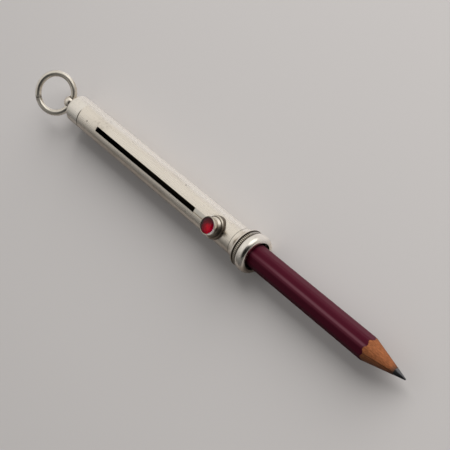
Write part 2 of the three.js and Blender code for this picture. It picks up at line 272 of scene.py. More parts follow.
def select_where(piece, kind, test):
    """Selects the vertices or faces of the piece in edit mode that pass the test of their place."""
    bpy.ops.mesh.select_mode(type="VERT" if kind == "vertices" else "FACE")
    bpy.ops.mesh.select_all(action="DESELECT")
    bpy.ops.object.mode_set(mode="OBJECT")
    for part in piece.data.vertices if kind == "vertices" else piece.data.polygons:
        part.select = test(part.co if kind == "vertices" else part.center)
    bpy.ops.object.mode_set(mode="EDIT")


def bisect(place, normal):
    bpy.ops.mesh.select_all(action="SELECT")
    bpy.ops.mesh.bisect(plane_co=place, plane_no=normal)


def with_modifier(piece, kind, **settings):
    modifier = piece.modifiers.new(kind.lower(), kind)
    for name, value in settings.items():
        setattr(modifier, name, value)
    select_only(piece)
    bpy.ops.object.modifier_apply(modifier=modifier.name)


def walled(piece, wall, **settings):
    """Gives an open sheet its thickness, inwards."""
    with_modifier(piece, "SOLIDIFY", thickness=wall, offset=-1, use_even_offset=True, **settings)


def ease_edges(piece, width, segments=2, sharper_than=EASED_ANGLE):
    """Rounds the piece's sharp edges."""
    limit = {"limit_method": "ANGLE", "angle_limit": sharper_than}
    with_modifier(piece, "BEVEL", width=width, segments=segments, **limit)


def finish_mesh(piece, name):
    """Names the piece, puts its origin at the frame's, and shades it smooth up to its edges."""
    piece.name = piece.data.name = name
    select_only(piece)
    bpy.ops.object.transform_apply(location=True, rotation=True, scale=True)
    bpy.ops.object.shade_smooth_by_angle(angle=SMOOTH_ANGLE)
    with_modifier(piece, "WEIGHTED_NORMAL", keep_sharp=True)


def open_tube(radius, rear, front, steps):
    """An open round tube along X, one sheet thick, in edit mode."""
    bpy.ops.object.select_all(action="DESELECT")
    bpy.ops.mesh.primitive_cylinder_add(
        vertices=steps,
        radius=radius,
        depth=front - rear,
        end_fill_type="NOTHING",
        location=AXIS + Vector(((front + rear) / 2, 0, 0)),
        rotation=(0, pi / 2, 0),
    )
    tube = bpy.context.object
    bpy.ops.object.transform_apply(location=True, rotation=True, scale=True)
    start_edit(tube)
    return tube


def mix(finish, share, first, second):
    """Between two colours, by a share from 0 to 1."""
    sockets = {"Factor_Float": share, "A_Color": first, "B_Color": second}
    for name in ("A_Color", "B_Color"):
        if not isinstance(sockets[name], Strand):
            sockets[name] = (*sockets[name], 1)
    return finish.node("Mix", {"data_type": "RGBA"}, sockets)["Result_Color"]


def scaled(colour, share):
    return tuple(channel * share for channel in colour)


def smooth(finish, value, low, high):
    """0 below low, 1 above high, with a soft step between."""
    sockets = {"Value": value, "From Min": low, "From Max": high}
    return finish.node("MapRange", {"interpolation_type": "SMOOTHSTEP"}, sockets)["Result"]


def noise(finish, size, stretch=EVEN, detail=3, roughness=0.55):
    """Noise with lumps this many millimetres across, longer where stretch is over 1."""
    scale = tuple(1 / (size * MM * s) for s in stretch)
    point = finish.node("TexCoord")["Object"]
    point = finish.node("Mapping", {}, {"Vector": point, "Scale": scale})["Vector"]
    sockets = {"Vector": point, "Scale": 1, "Detail": detail, "Roughness": roughness}
    return finish.node("TexNoise", {}, sockets)["Fac"]


def vectors(finish, operation, *inputs):
    sockets = dict(enumerate(inputs))
    return finish.node("VectorMath", {"operation": operation}, sockets)


def step_from(finish, centre, keep=EVEN):
    """The step from a centre to the surface, in metres, along the axes to keep."""
    point = finish.node("TexCoord")["Object"]
    step = vectors(finish, "SUBTRACT", point, centre)["Vector"]
    return vectors(finish, "MULTIPLY", step, keep)["Vector"]


def from_button(finish):
    """How far from the button's upright axis, in millimetres."""
    return vectors(finish, "LENGTH", step_from(finish, BUTTON, (1, 1, 0)))["Value"] * (1 / MM)


def distance_to(finish, place, reach):
    """Distance from a place, in lengths of reach."""
    return vectors(finish, "LENGTH", step_from(finish, place))["Value"] * (1 / reach)


def along_x(finish):
    """How far along the holder, in millimetres."""
    point = finish.node("TexCoord")["Object"]
    return finish.node("SeparateXYZ", {}, {0: point})["X"] * (1 / MM)


def turned_to(finish, step, side):
    """1 where the step points to this side, down to -1 where it points away."""
    unit = vectors(finish, "NORMALIZE", step)["Vector"]
    return vectors(finish, "DOT_PRODUCT", unit, side)["Value"]


def facing(finish, way):
    """1 on the side of the holder turned this way round its axis, down to -1 on the far side."""
    return turned_to(finish, step_from(finish, AXIS, (0, 1, 1)), (0, sin(way), cos(way)))


def bumped(finish, height, strength, depth):
    """A normal that follows this relief, its depth in millimetres."""
    sockets = {"Strength": strength, "Distance": depth * MM, "Height": height}
    return finish.node("Bump", {}, sockets)["Normal"]


def ended(finish, **sockets):
    """Ends a material with its shader. A socket's name has _ for a space."""
    sockets = {name.replace("_", " "): value for name, value in sockets.items()}
    surface = finish.node("BsdfPrincipled", {}, sockets)["BSDF"]
    finish.node("OutputMaterial", {}, {"Surface": surface})
    return finish.data


def silver(
    name, lay, shine, tone=SILVER, dirt=0.5, dullness=0.87,
    sides=facing, grooves=(), rims=(), dents=(),
):
    """Old worked silver. The lay is the way its polishing marks run. Sides tells the side that gets
    a painted highlight from the side that gets painted shade, and the shade strength sets how dark
    that painted shade is. Tarnish is left in grooves, each (place, width) in millimetres along the
    holder, or (place, width, way, spread) on one side of it, and in dents, each (place, radius) in
    metres. Rims, each (distance, width) from the button's axis, are darker rings, partly painted
    shade where the button's pieces meet."""
    finish = Finish(bpy.data.materials.new(name))
    cloud = noise(finish, CLOUD_SIZE, (2, 1, 1), 4)
    speck = noise(finish, SPECK_SIZE, EVEN, 5, 0.65)
    marks = noise(finish, MARK_SIZE, lay, 4, 0.6)
    scratch = noise(finish, SCRATCH_SIZE, scaled(lay, 3), 2, 0.5)
    streak = noise(finish, STREAK_SIZE, scaled(lay, 2.5), 3, 0.6)
    hairline = smooth(finish, (scratch - 0.5).maths("ABSOLUTE"), HAIRLINE, 0.0)
    relief = marks * 0.22 + scratch * 0.2 + streak * 0.14 - hairline * 0.12

    stain_and_shade = smooth(finish, cloud * 0.6 + speck * 0.4, STAIN_FROM, STAIN_TO) * dirt
    for place, width, *one_side in grooves:
        near = (along_x(finish) - place).maths("ABSOLUTE") + (speck - 0.5) * width
        line = smooth(finish, near, width, width * 0.25) * 0.95
        if one_side:
            way, spread = one_side
            line = line * smooth(finish, facing(finish, way), cos(spread * 1.25), cos(spread * 0.8))
        stain_and_shade = stain_and_shade.maths("MAXIMUM", line)
    # Rings round the button's axis are darkened with the tarnish colour; at the foot's edge this is
    # a painted shadow where the foot meets the barrel.
    for distance, width in rims:
        near = (from_button(finish) - distance).maths("ABSOLUTE") + (speck - 0.5) * width
        stain_and_shade = stain_and_shade.maths("MAXIMUM", smooth(finish, near, width, width * 0.3) * 0.9)
    for place, radius in dents:
        ragged = distance_to(finish, place, radius) + (speck - 0.5) * 0.8
        bowl = smooth(finish, ragged, 1.0, 0.1)
        relief = relief - bowl * DENT_RELIEF
        stain_and_shade = stain_and_shade.maths("MAXIMUM", bowl)

    # Painted highlight on the side towards the window, made a little less metallic there to
    # brighten it, and painted shade on the far side.
    brightness = sides(finish, LIT_SIDE) + (cloud - 0.5) * 0.16
    lit_share = smooth(finish, brightness, LIT_FROM, LIT_TO)
    dull = smooth(finish, sides(finish, SHADED_SIDE) + (cloud - 0.5) * 0.4, SHADE_FROM, SHADE_TO)
    warm = tuple(a * 0.3 + b * 0.7 for a, b in zip(tone, SILVER_WARM))
    metal = mix(finish, cloud, tone, warm)
    metal = mix(finish, smooth(finish, streak, 0.60, 0.40) * 0.05, metal, SILVER_SHADE_AND_STREAK)
    metal = mix(finish, lit_share, metal, SILVER_PAINTED_HIGHLIGHT)
    metal = mix(finish, dull * dullness, metal, SILVER_SHADE_AND_STREAK)
    metal = mix(finish, stain_and_shade, metal, TARNISH_AND_SHADE)
    rough = (cloud - 0.5) * 0.12 + (marks - 0.5) * 0.10 + (streak - 0.5) * 0.08
    return ended(
        finish,
        Base_Color=metal,
        Metallic=1 - lit_share * SATIN,
        Roughness=rough + stain_and_shade * 0.22 + shine,
        Normal=bumped(finish, relief, RELIEF_STRENGTH, RELIEF_DEPTH),
    )


def dark_silver(name, tone=TARNISH_AND_SHADE, shine=0.45):
    """Silver that is never polished, gone brown and black inside."""
    finish = Finish(bpy.data.materials.new(name))
    cloud = noise(finish, 2.5, (2, 1, 1), 4)
    speck = noise(finish, 0.3, EVEN, 4, 0.6)
    return ended(
        finish,
        Base_Color=mix(finish, cloud, scaled(tone, 0.45), tone),
        Metallic=1,
        Roughness=(cloud - 0.5) * 0.2 + (speck - 0.5) * 0.15 + shine,
        Normal=bumped(finish, speck, 0.5, 0.02),
    )


barrel_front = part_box("barrel_tube")[1].x
barrel_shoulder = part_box("end_cap")[1].x + SEAM_GAP
barrel = open_tube(BARREL_RADIUS, barrel_shoulder, barrel_front, BARREL_STEPS)
for side in (SLOT_HALF_WIDTH, -SLOT_HALF_WIDTH):
    bisect(AXIS + Vector((0, side, 0)), (0, 1, 0))
for end in (SLOT_REAR, SLOT_FRONT):
    bisect((end, 0, 0), (1, 0, 0))
select_where(
    barrel,
    "faces",
    lambda at: at.z > AXIS.z and abs(at.y) < SLOT_HALF_WIDTH and SLOT_REAR < at.x < SLOT_FRONT,
)
bpy.ops.mesh.delete(type="FACE")
select_where(barrel, "vertices", lambda at: at.x < barrel_shoulder + EDGE_EASE)
bpy.ops.mesh.extrude_edges_move()
narrow = SPIGOT_RADIUS / BARREL_RADIUS
bpy.ops.transform.resize(value=(1, narrow, narrow), center_override=AXIS)
bpy.ops.mesh.extrude_edges_move(TRANSFORM_OT_translate={"value": (-SPIGOT_LENGTH, 0, 0)})
end_edit()
seam = (barrel_shoulder / MM, SEAM_WIDTH, SEAM_WAY, SEAM_SPREAD)
barrel.data.materials.append(
    silver("barrel_silver", BARREL_LAY, shine=0.28, dirt=0.4, grooves=[seam], dents=BARREL_DENTS)
)
barrel.data.materials.append(dark_silver("bore_tarnish"))
walled(barrel, BARREL_WALL, material_offset=1)
ease_edges(barrel, FLUSH_EASE)
finish_mesh(barrel, "barrel")
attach(barrel, "barrel")
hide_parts("barrel_tube")

# The end cap: a small cup of sheet silver pressed over the spigot, flush with the barrel.
# Its shoulder is rounded, and a pierced hole in its end takes the rivet of the finial.
CAP_WALL = 0.35 * MM
CAP_SHOULDER = 1.25 * MM
CAP_HOLE = 0.8 * MM
CAP_TONE = (0.97, 0.92, 0.84)
SPIN_STEPS = 128
NEARLY_STRAIGHT = radians(150)
LINE_SHARE = 0.45


def arc(along, out, radius, start, stop, steps, radius_out=None):
    """Points of an arc about a centre, by degrees: 0 points along the axis, 90 away from it."""
    reach = radius if radius_out is None else radius_out
    points = []
    for step in range(steps + 1):
        angle = radians(start + (stop - start) * step / steps)
        points.append((along + radius * cos(angle), out + reach * sin(angle)))
    return points


def eased(profile, ease, closed=True, steps=3):
    """The profile with its sharp corners rounded off."""
    count = len(profile)
    points = []
    for i, here in enumerate(profile):
        if not closed and i in (0, count - 1):
            points.append(here)
            continue
        corner = Vector(here)
        before = Vector(profile[i - 1]) - corner
        after = Vector(profile[(i + 1) % count]) - corner
        angle = before.angle(after)
        if angle > NEARLY_STRAIGHT:
            points.append(here)
            continue
        back = min(ease / tan(angle / 2), LINE_SHARE * before.length, LINE_SHARE * after.length)
        middle = (before.normalized() + after.normalized()).normalized()
        radius = back * tan(angle / 2)
        centre = corner + middle * (radius / sin(angle / 2))
        first = corner + before.normalized() * back - centre
        last = corner + after.normalized() * back - centre
        for step in range(steps + 1):
            share = step / steps
            spoke = (first * (1 - share) + last * share).normalized() * radius
            points.append(tuple(centre + spoke))
    return points


def spun(name, profile, closed=True, upright=None, steps=SPIN_STEPS):
    """A body spun from its profile's points, each a place along the axis and a distance from it.
    The axis is the barrel's, or the upright line through the place given."""
    along, out, centre = Vector((1, 0, 0)), Vector((0, 0, 1)), AXIS
    if upright is not None:
        along, out, centre = Vector((0, 0, 1)), Vector((1, 0, 0)), upright
    points = [centre + along * a + out * r for a, r in profile]
    if closed:
        points.append(points[0])
    bpy.ops.object.select_all(action="DESELECT")
    bpy.ops.mesh.primitive_plane_add(size=MM, location=points[0])
    piece = bpy.context.object
    start_edit(piece)
    bpy.ops.mesh.select_all(action="SELECT")
    bpy.ops.mesh.merge(type="CENTER")
    for start, end in zip(points, points[1:]):
        bpy.ops.mesh.extrude_vertices_move(TRANSFORM_OT_translate={"value": end - start})
    bpy.ops.mesh.select_all(action="SELECT")
    bpy.ops.mesh.spin(steps=steps, angle=2 * pi, center=centre, axis=along)
    end_edit()
    finish_mesh(piece, name)
    return piece


cap_low, cap_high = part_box("end_cap")
shoulder_centre = (cap_low.x + CAP_SHOULDER, BARREL_RADIUS - CAP_SHOULDER)
cap_profile = [
    (cap_low.x, CAP_HOLE),
    (cap_low.x + CAP_WALL, CAP_HOLE),
    *arc(*shoulder_centre, CAP_SHOULDER - CAP_WALL, 180, 90, 8),
    (cap_high.x, BARREL_RADIUS - CAP_WALL),
    (cap_high.x, BARREL_RADIUS),
    *arc(*shoulder_centre, CAP_SHOULDER, 90, 180, 16),
]
cap = spun("cap", eased(cap_profile, FLUSH_EASE))
cap.data.materials.append(
    silver("cap_silver", BARREL_LAY, shine=0.29, tone=CAP_TONE, dirt=0.3, grooves=[seam])
)
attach(cap, "barrel")
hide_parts("end_cap")

# The finial: a cast ball on a short neck, drilled across for the ring and riveted through the cap.
# The ring has worn the edges of its hole round.
BALL_RADIUS = 2.1 * MM
BALL_TO_CAP = 3.35 * MM
NECK_RADIUS = 1.25 * MM
RIVET_RADIUS = 0.75 * MM
RIVET_HEAD_RADIUS = 1.4 * MM
RIVET_HEAD = 0.4 * MM
FIT_GAP = 0.05 * MM
RING_HOLE_RADIUS = 1.45 * MM
RING_HOLE_TO_CAP = 3.1 * MM
RING_HOLE_WEAR = 0.12 * MM
RING_HOLE_ANGLE = radians(40)
NECK_DIRT = 0.35
NECK_DIRT_BACK = 0.1
SMALL_STEPS = 96


def boolean(piece, operation, tool):
    """Cuts the piece by a tool, or keeps what lies inside the tool, and removes the tool."""
    with_modifier(piece, "BOOLEAN", operation=operation, object=tool, solver="EXACT")
    bpy.data.objects.remove(tool)


neck_angle = degrees(asin(NECK_RADIUS / BALL_RADIUS))
ball_centre = cap_low.x - BALL_TO_CAP
neck_end = cap_low.x - FIT_GAP
rivet_low = cap_low.x + CAP_WALL + FIT_GAP
finial_profile = [
    (rivet_low + RIVET_HEAD, 0),
    (rivet_low + RIVET_HEAD, RIVET_HEAD_RADIUS),
    (rivet_low, RIVET_HEAD_RADIUS),
    (rivet_low, RIVET_RADIUS),
    (neck_end, RIVET_RADIUS),
    (neck_end, NECK_RADIUS),
    *arc(ball_centre, 0, BALL_RADIUS, neck_angle, 180, 40)[:-1],
    (ball_centre - BALL_RADIUS, 0),
]
finial_outline = eased(finial_profile, EDGE_EASE * 2, closed=False)
finial = spun("finial", finial_outline, closed=False, steps=SMALL_STEPS)
hinge = AXIS + Vector((cap_low.x - RING_HOLE_TO_CAP, 0, 0))
bpy.ops.object.select_all(action="DESELECT")
bpy.ops.mesh.primitive_cylinder_add(
    vertices=64,
    radius=RING_HOLE_RADIUS,
    depth=4 * BALL_RADIUS,
    location=hinge,
    rotation=(pi / 2, 0, 0),
)
boolean(finial, "DIFFERENCE", bpy.context.object)
ease_edges(finial, RING_HOLE_WEAR, segments=3, sharper_than=RING_HOLE_ANGLE)
finish_mesh(finial, "finial")
neck_groove = (cap_low.x / MM - NECK_DIRT_BACK, NECK_DIRT)
finial.data.materials.append(
    silver("finial_silver", (1, 2, 2), shine=0.27, grooves=[neck_groove])
)
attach(finial, "barrel")
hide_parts("finial_ball")

# The suspension ring: round silver wire bent through the finial, its ends butted and never
# soldered. It leans towards the button as it lies, and dirt marks its joint.
RING_RADIUS = 6.2 * MM
WIRE_RADIUS = 0.975 * MM
WIRE_EASE = 0.06 * MM
RING_LEAN = radians(23)
RING_JOINT = radians(-45)
RING_JOINT_GAP = 0.12 * MM
JOINT_STAIN = 1.9 * WIRE_RADIUS
RING_TONE = (0.80, 0.755, 0.66)
WIRE_STEPS = 48
RING_STEPS = 160

bow = RING_RADIUS - sqrt(RING_RADIUS**2 - BALL_RADIUS**2)
ring_centre = hinge + Vector((bow / 2 - RING_RADIUS, 0, 0))
ring_start = Vector((-RING_RADIUS, 0, 0))
bpy.ops.object.select_all(action="DESELECT")
bpy.ops.mesh.primitive_circle_add(
    vertices=WIRE_STEPS,
    radius=WIRE_RADIUS,
    fill_type="NGON",
    location=ring_centre + ring_start,
    rotation=(pi / 2, 0, 0),
)
ring = bpy.context.object
bpy.ops.object.transform_apply(location=True, rotation=True)
start_edit(ring)
bpy.ops.mesh.select_all(action="SELECT")
gap_angle = RING_JOINT_GAP / RING_RADIUS
joint_turn = RING_JOINT + gap_angle / 2
bpy.ops.transform.rotate(value=joint_turn, orient_axis="Z", center_override=ring_centre)
bend = 2 * pi - gap_angle
bpy.ops.mesh.spin(steps=RING_STEPS, angle=bend, center=ring_centre, axis=(0, 0, 1))
bpy.ops.mesh.select_all(action="SELECT")
bpy.ops.transform.rotate(value=-RING_LEAN, orient_axis="Y", center_override=hinge)
end_edit()
ease_edges(ring, WIRE_EASE)
finish_mesh(ring, "ring")


def wire_facing(finish, way):
    """The same as facing, for the surface of the ring's wire round its own middle line."""
    leaning = {"Vector": step_from(finish, hinge), "Angle": -RING_LEAN}
    level = finish.node("VectorRotate", {"rotation_type": "Y_AXIS"}, leaning)["Vector"]
    level = vectors(finish, "SUBTRACT", level, ring_centre - hinge)["Vector"]
    flat = vectors(finish, "MULTIPLY", level, (1, 1, 0))["Vector"]
    spoke = vectors(finish, "NORMALIZE", flat)["Vector"]
    middle = vectors(finish, "MULTIPLY", spoke, scaled(EVEN, RING_RADIUS))["Vector"]
    off = vectors(finish, "SUBTRACT", level, middle)["Vector"]
    return turned_to(finish, off, (0, sin(way), cos(way)))


joint_place = Matrix.Rotation(-RING_JOINT, 3, "Z") @ ring_start + ring_centre - hinge
joint_place = Matrix.Rotation(RING_LEAN, 3, "Y") @ joint_place + hinge
# The wire gets a painted highlight on its side towards the window and painted shade on the other.
ring.data.materials.append(
    silver(
        "ring_silver",
        EVEN,
        shine=0.34,
        tone=RING_TONE,
        dirt=0.25,
        dullness=0.55,
        sides=wire_facing,
        dents=[(joint_place, JOINT_STAIN)],
    )
)
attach(ring, "ring")
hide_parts("suspension_ring")

# The mouth's collar: a turned silver ring, soldered on, that flares from the barrel in a hollow
# cove. Tarnish is left at the root of the cove and in the groove before the milled band.
COLLAR_RADIUS = 5.75 * MM
COLLAR_LAND = 0.5 * MM
COLLAR_LIP = 0.14 * MM
COLLAR_INSIDE = BARREL_RADIUS + FIT_GAP
COLLAR_GROOVE = 0.3
TURNED_EASE = 0.08 * MM
TURNED_LAY = (1, 4, 4)

collar_low, collar_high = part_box("mouth_collar")
cove_length = collar_high.x - COLLAR_LAND - collar_low.x
cove_depth = COLLAR_RADIUS - COLLAR_INSIDE - COLLAR_LIP
collar_profile = [
    (collar_low.x, COLLAR_INSIDE),
    (collar_high.x, COLLAR_INSIDE),
    (collar_high.x, COLLAR_RADIUS),
    *arc(collar_low.x, COLLAR_RADIUS, cove_length, 0, -90, 24, cove_depth),
]
collar = spun("collar", eased(collar_profile, TURNED_EASE))
collar_grooves = [(end.x / MM, COLLAR_GROOVE) for end in (collar_low, collar_high)]
collar.data.materials.append(
    silver("collar_silver", TURNED_LAY, shine=0.28, grooves=collar_grooves)
)
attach(collar, "barrel")
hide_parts("mouth_collar")

# The milled band: a narrow ring between the collar and the bead, its edge cut with fine upright
# notches. The dark lines each side of it are open seams that never see a polishing cloth.
BAND_RADIUS = 5.6 * MM
BAND_EASE = 0.18 * MM
BAND_NOTCHES = 64
BAND_STEPS = 4 * BAND_NOTCHES
NOTCH_DEPTH = 0.12 * MM
NOTCH_FLOOR = COLLAR_INSIDE + 0.4 * MM
NOTCH_HALF_WIDTH = 0.1
NOTCH_HALF_STAIN = 0.25
BAND_DIRT_REAR = 0.42
BAND_DIRT_FRONT = 0.36
MILLED_TONE = (0.62, 0.56, 0.46)

band_low, band_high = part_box("mouth_fillet")
band_profile = [
    (band_low.x, COLLAR_INSIDE),
    (band_high.x, COLLAR_INSIDE),
    (band_high.x, BAND_RADIUS),
    (band_low.x, BAND_RADIUS),
]
band = spun("milled_band", eased(band_profile, BAND_EASE), steps=BAND_STEPS)


def in_notch(at, half_width=NOTCH_HALF_WIDTH):
    """Whether a place lies this near a notch's middle, in shares of the step between notches."""
    out = Vector((at.y, at.z - AXIS.z)).length
    turn = atan2(at.y, at.z - AXIS.z) / (2 * pi) * BAND_NOTCHES % 1
    return out > NOTCH_FLOOR and min(turn, 1 - turn) < half_width


start_edit(band)
select_where(band, "vertices", in_notch)
depth = 1 - NOTCH_DEPTH / BAND_RADIUS
bpy.ops.transform.resize(value=(1, depth, depth), center_override=AXIS)
bpy.ops.object.mode_set(mode="OBJECT")
band_grooves = [(band_low.x / MM, BAND_DIRT_REAR), (band_high.x / MM, BAND_DIRT_FRONT)]
band.data.materials.append(
    silver("band_silver", EVEN, shine=0.3, tone=MILLED_TONE, dirt=0.6, grooves=band_grooves)
)
band.data.materials.append(dark_silver("notch_tarnish"))
for face in band.data.polygons:
    if in_notch(face.center, NOTCH_HALF_STAIN):
        face.material_index = 1
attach(band, "barrel")
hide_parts("mouth_fillet")

# The bead: the heavy turned ring round the mouth, the most handled part and the brightest.
# Its lip closes over the barrel's end, and the splay inside the lip is dark with tarnish.
BEAD_RADIUS = 5.95 * MM
BEAD_BACK_RADIUS = 5.5 * MM
BEAD_FACE_RADIUS = 4.8 * MM
BEAD_BACK = 0.9 * MM
BEAD_LAND = 0.6 * MM
MOUTH_BORE = 4.17 * MM
MOUTH_LIP = 1 * MM
MOUTH_SPLAY = 0.26 * MM
MOUTH_DARK = MOUTH_BORE + 0.8 * MOUTH_SPLAY
BEAD_TONE = (0.95, 0.90, 0.82)

bead_back = bead_low.x + BEAD_BACK
bead_face = bead_back + BEAD_LAND
face_length = bead_high.x - bead_face
bead_profile = [
    (bead_low.x, COLLAR_INSIDE),
    (bead_high.x - MOUTH_LIP, COLLAR_INSIDE),
    (bead_high.x - MOUTH_LIP, MOUTH_BORE),
    (bead_high.x - MOUTH_SPLAY, MOUTH_BORE),
    (bead_high.x, MOUTH_BORE + MOUTH_SPLAY),
    *arc(bead_face, BEAD_FACE_RADIUS, face_length, 0, 90, 20, BEAD_RADIUS - BEAD_FACE_RADIUS),
    *arc(bead_back, BEAD_BACK_RADIUS, BEAD_BACK, 90, 180, 10, BEAD_RADIUS - BEAD_BACK_RADIUS),
]
bead = spun("bead", eased(bead_profile, EDGE_EASE))
bead_groove = (bead_low.x / MM, COLLAR_GROOVE)
bead.data.materials.append(
    silver("bead_silver", TURNED_LAY, shine=0.26, tone=BEAD_TONE, dirt=0.35, grooves=[bead_groove])
)
bead.data.materials.append(dark_silver("mouth_tarnish"))
for face in bead.data.polygons:
    if Vector((face.center.y, face.center.z - AXIS.z)).length < MOUTH_DARK:
        face.material_index = 1
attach(bead, "barrel")
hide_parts("mouth_bead")

# The carriage: a sprung tube that slides in the bore, split underneath so that it grips the
# pencil. The stop disc, the stem and its washer, riveted inside it, keep their solids and take
# the same worn finish.
CARRIAGE_RADIUS = 4.0 * MM
CARRIAGE_WALL = 0.25 * MM
SPLIT_HALF_WIDTH = 0.2 * MM
STEM_HOLE = 0.85 * MM
RUBBED_INSIDE = (0.96, 0.90, 0.79)

carriage_low, carriage_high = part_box("carriage_tube")
carriage = open_tube(CARRIAGE_RADIUS, carriage_low.x, carriage_high.x, BARREL_STEPS)
for side in (SPLIT_HALF_WIDTH, -SPLIT_HALF_WIDTH, STEM_HOLE, -STEM_HOLE):
    bisect(AXIS + Vector((0, side, 0)), (0, 1, 0))
for end in (BUTTON.x - STEM_HOLE, BUTTON.x + STEM_HOLE):
    bisect((end, 0, 0), (1, 0, 0))
select_where(
    carriage,
    "faces",
    lambda at: (at.z < AXIS.z and abs(at.y) < SPLIT_HALF_WIDTH)
    or (at.z > AXIS.z and abs(at.y) < STEM_HOLE and abs(at.x - BUTTON.x) < STEM_HOLE),
)
bpy.ops.mesh.delete(type="FACE")
end_edit()
inside_finish = dark_silver("carriage_silver", tone=RUBBED_INSIDE, shine=0.38)
carriage.data.materials.append(inside_finish)
walled(carriage, CARRIAGE_WALL)
ease_edges(carriage, EDGE_EASE)
finish_mesh(carriage, "carriage")
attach(carriage, "carriage")
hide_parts("carriage_tube")
for node in ("stop_disc", "slider_stem", "stem_washer"):
    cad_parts[node].material_slots[0].material = inside_finish

# The button's foot: a turned silver disc, hollowed underneath to ride along the barrel.
# Its rim is rounded by the thumb. Its tone is darkened as painted shade, one side has a painted
# highlight and the other painted shade, a darker ring at its edge is a painted shadow where it
# meets the barrel, and another runs round the spool's base.
FOOT_RADIUS = 3.5 * MM
FOOT_HEIGHT = 0.7 * MM
FOOT_EDGE = 0.4 * MM
# The foot's darkened tone is painted shade.
FOOT_SHADED_TONE = (0.64, 0.585, 0.49)
FOOT_RIDE = BARREL_RADIUS + 0.15 * MM
FOOT_RIMS = [(2.95, 0.26), (3.6, 0.22)]
# The side of the button given a painted highlight; the opposite side gets painted shade.
BUTTON_LIT_SIDE = (-0.9, 0.44, 0)


def round_button(bright_way):
    """The same as facing, for a turned piece of the button whose bright side is turned this way."""

    def sides(finish, way):
        side = bright_way if way == LIT_SIDE else scaled(bright_way, -1)
        return turned_to(finish, step_from(finish, BUTTON, (1, 1, 0)), side)

    return sides


foot_top = AXIS.z + BARREL_RADIUS + FOOT_HEIGHT
foot_bottom = AXIS.z + sqrt(FOOT_RIDE**2 - FOOT_RADIUS**2)
foot_profile = [
    (foot_bottom, 0),
    (foot_bottom, FOOT_RADIUS),
    *arc(foot_top - FOOT_EDGE, FOOT_RADIUS - FOOT_EDGE, FOOT_EDGE, 90, 0, 10),
    (foot_top, 0),
]
foot = spun("foot", foot_profile, closed=False, upright=BUTTON)
bpy.ops.object.select_all(action="DESELECT")
bpy.ops.mesh.primitive_cylinder_add(
    vertices=256,
    radius=FOOT_RIDE,
    depth=4 * FOOT_RADIUS,
    location=AXIS + BUTTON,
    rotation=(0, pi / 2, 0),
)
boolean(foot, "DIFFERENCE", bpy.context.object)
ease_edges(foot, EDGE_EASE)
finish_mesh(foot, "foot")
button_light = round_button(BUTTON_LIT_SIDE)
foot.data.materials.append(
    silver("foot_silver", EVEN, shine=0.33, tone=FOOT_SHADED_TONE, sides=button_light, rims=FOOT_RIMS)
)
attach(foot, "carriage")
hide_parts("button_foot")

# The button's body: a waisted silver spool between the foot and the setting.
# It has a painted highlight on one side and painted shade on the other.
WAIST_RADIUS = 2.25 * MM
BODY_BASE_RADIUS = 2.9 * MM
BODY_TOP_RADIUS = 2.55 * MM
WAIST_STEPS = 24
SPOOL_TONE = (0.82, 0.755, 0.65)

body_low, body_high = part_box("button_body")
body_profile = [(body_high.z, 0)]
for step in range(WAIST_STEPS + 1):
    share = step / WAIST_STEPS
    end = BODY_TOP_RADIUS + (BODY_BASE_RADIUS - BODY_TOP_RADIUS) * share
    radius = WAIST_RADIUS + (end - WAIST_RADIUS) * (2 * share - 1) ** 2
    body_profile.append((body_high.z + (body_low.z - body_high.z) * share, radius))
body_profile.append((body_low.z, 0))
body_outline = eased(body_profile, EDGE_EASE * 2, closed=False)
body = spun("button_body_turned", body_outline, closed=False, upright=BUTTON, steps=SMALL_STEPS)
body.data.materials.append(
    silver("body_silver", (3, 3, 1), shine=0.38, tone=SPOOL_TONE, sides=button_light)
)
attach(body, "carriage")
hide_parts("button_body")

# The bezel: a low silver cup for the stone, its rim burnished over the girdle to hold it.
# Its front side has a painted highlight and its back painted shade, and a dark ring runs where the
# rim meets the stone.
BEZEL_RADIUS = 2.7 * MM
BEZEL_WALL = 0.32 * MM
BEZEL_FLOOR = 0.3 * MM
BEZEL_TONE = (0.66, 0.60, 0.49)
# The bezel's side given a painted highlight; the opposite side gets painted shade.
BEZEL_LIT_SIDE = (0.95, -0.3, 0)
BEZEL_RIM = (2.36, 0.1)

bezel_low, bezel_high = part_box("stone_bezel")
bezel_profile = [
    (bezel_low.z, 0),
    (bezel_low.z, BEZEL_RADIUS),
    (bezel_high.z - BEZEL_WALL, BEZEL_RADIUS),
    (bezel_high.z, BEZEL_RADIUS - BEZEL_WALL / 2),
    (bezel_high.z, BEZEL_RADIUS - BEZEL_WALL),
    (bezel_low.z + BEZEL_FLOOR, BEZEL_RADIUS - BEZEL_WALL),
    (bezel_low.z + BEZEL_FLOOR, 0),
]
bezel_outline = eased(bezel_profile, TURNED_EASE, closed=False)
bezel = spun("bezel", bezel_outline, closed=False, upright=BUTTON, steps=SMALL_STEPS)
bezel.data.materials.append(
    silver(
        "bezel_silver",
        EVEN,
        shine=0.24,
        tone=BEZEL_TONE,
        dirt=0.4,
        sides=round_button(BEZEL_LIT_SIDE),
        rims=[BEZEL_RIM],
    )
)
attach(bezel, "carriage")
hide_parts("stone_bezel")

# The stone: a domed red paste, set over red foil. Its colour is a painted glow, bright at a point
# off its middle, fading to painted shade at its edge, with a random swirl of deeper red. The foil
# keeps its solid and is creased under the stone.
STONE_RADIUS = 2.33 * MM
STONE_DOME = 0.65 * MM
STONE_RED = (0.90, 0.014, 0.25)
STONE_PAINTED_SHADE = (0.30, 0.01, 0.11)
STONE_PAINTED_GLOW = Vector((0.42, -0.32, 0)) * MM
STONE_PAINTED_GLOW_REACH = 2.75 * MM
STONE_HEART = 0.36
STONE_RIM = 0.94
STONE_IOR = 1.32
FOIL_RED = (0.92, 0.01, 0.22)

